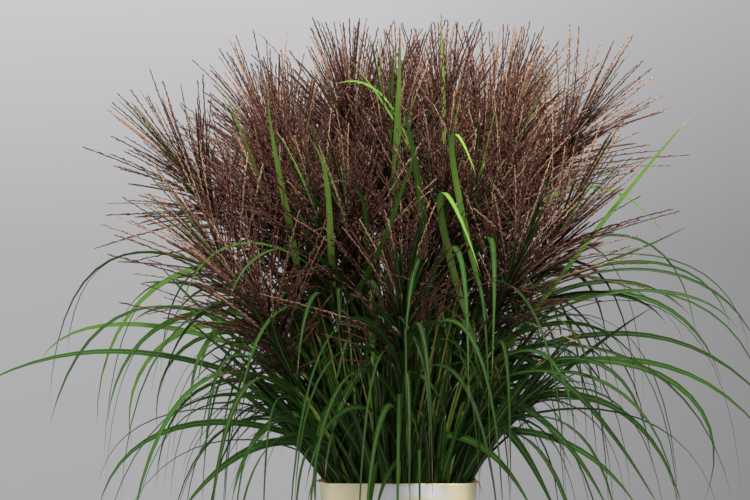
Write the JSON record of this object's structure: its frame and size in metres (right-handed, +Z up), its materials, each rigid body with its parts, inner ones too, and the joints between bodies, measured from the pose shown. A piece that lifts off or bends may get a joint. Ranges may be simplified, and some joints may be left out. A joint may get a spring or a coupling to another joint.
{
  "type": "potted maiden grass in flower",
  "caption": "Square flower pot with soil and tufts of ornamental grass: leaning culms, long arching leaves and feathery brown-red plumes.",
  "frame": {"origin": "middle of the pot's flat underside", "axes": "+Z up out of the pot, +X to the right as seen from the front, the front faces -Y"},
  "size_m": [1.2189, 0.9986, 0.985],
  "materials": {
    "pot": "cream, smooth and glossy",
    "soil": "dark crumbly potting soil",
    "green": "living culms and leaves, satin, with pale midribs",
    "plume": "brown-red racemes with pale hairs"
  },
  "bodies": {
    "root": {"pot": "pot", "soil": "soil", "tuft_01": "green", "tuft_02": "green", "tuft_03": "green", "tuft_04": "green", "tuft_05": "green", "tuft_06": "green", "tuft_07": "green", "tuft_08": "green", "tuft_09": "green", "tuft_10": "green", "tuft_11": "green", "tuft_12": "green", "plume_01": "plume", "plume_02": "plume", "plume_03": "plume", "plume_04": "plume", "plume_05": "plume", "plume_06": "plume", "plume_07": "plume", "plume_08": "plume", "plume_09": "plume", "plume_10": "plume", "plume_11": "plume", "plume_12": "plume", "plume_13": "plume", "plume_14": "plume", "plume_15": "plume", "plume_16": "plume", "plume_17": "plume", "plume_18": "plume", "plume_19": "plume", "plume_20": "plume", "plume_21": "plume", "plume_22": "plume", "plume_23": "plume", "plume_24": "plume", "plume_25": "plume", "plume_26": "plume", "plume_27": "plume", "plume_28": "plume", "plume_29": "plume", "plume_30": "plume", "plume_31": "plume", "plume_32": "plume", "plume_33": "plume", "plume_34": "plume", "plume_35": "plume", "plume_36": "plume", "plume_37": "plume", "plume_38": "plume", "plume_39": "plume", "plume_40": "plume", "plume_41": "plume", "plume_42": "plume", "plume_43": "plume", "plume_44": "plume"}
  },
  "joints": []
}
